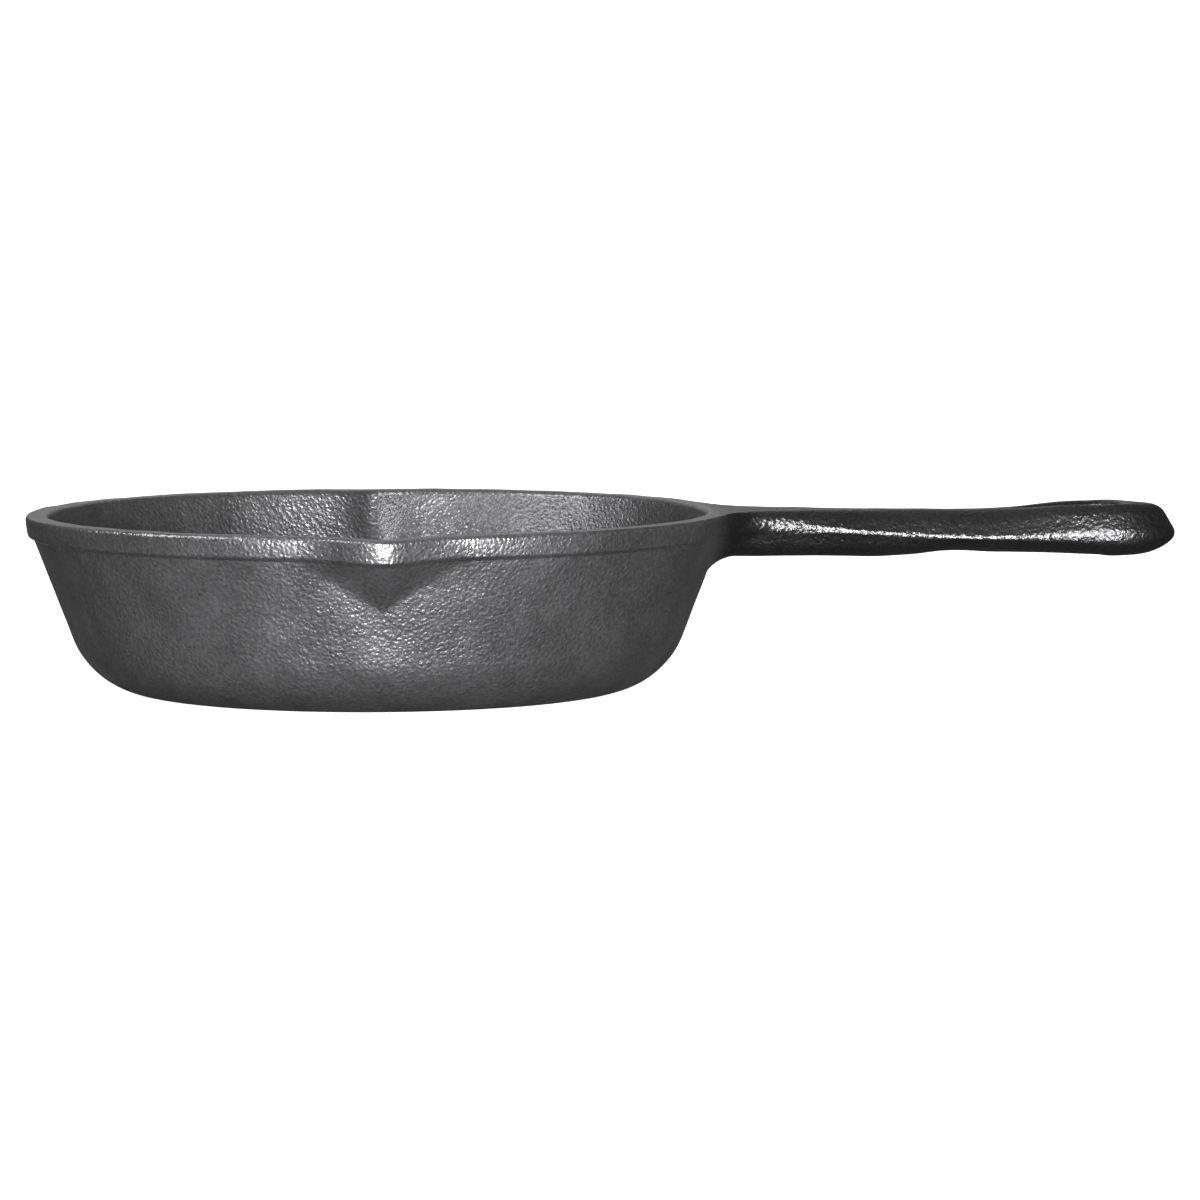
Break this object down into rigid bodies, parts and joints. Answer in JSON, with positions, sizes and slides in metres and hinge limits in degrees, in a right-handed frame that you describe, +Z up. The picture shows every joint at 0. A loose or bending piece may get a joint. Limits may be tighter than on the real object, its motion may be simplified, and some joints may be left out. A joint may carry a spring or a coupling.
{
  "type": "skillet",
  "caption": "Small round cast iron skillet with sloped walls, a banded rim, a pour spout on each side and a short handle that ends in a hanging eye.",
  "frame": {"origin": "centre of the flat base, on the pan's axis, at the plane that the skillet stands on", "axes": "+X along the handle towards its tip, +Z up the pan's axis, -Y through the front pour spout and +Y through the rear one"},
  "size_m": [0.2709, 0.1772, 0.0431],
  "materials": {
    "cooking_surface": "seasoned black, fine pebbled sand-cast surface under a satin oil skin",
    "cast_wall": "seasoned black-grey, pebbled sand-cast surface, satin",
    "rim": "seasoned, slightly smoother along the top edge, where it glints",
    "handle": "seasoned black, glossier than the pan, pebbled sand-cast surface"
  },
  "bodies": {
    "root": {"cooking_floor": "cooking_surface", "heel": "cast_wall", "side_wall": "cast_wall", "rim_band_handle_side": "rim", "rim_band_far_side": "rim", "front_pour_spout": "cast_wall", "rear_pour_spout": "cast_wall", "handle_root": "handle", "handle_shank": "handle", "hanging_eye": "handle"}
  },
  "joints": []
}
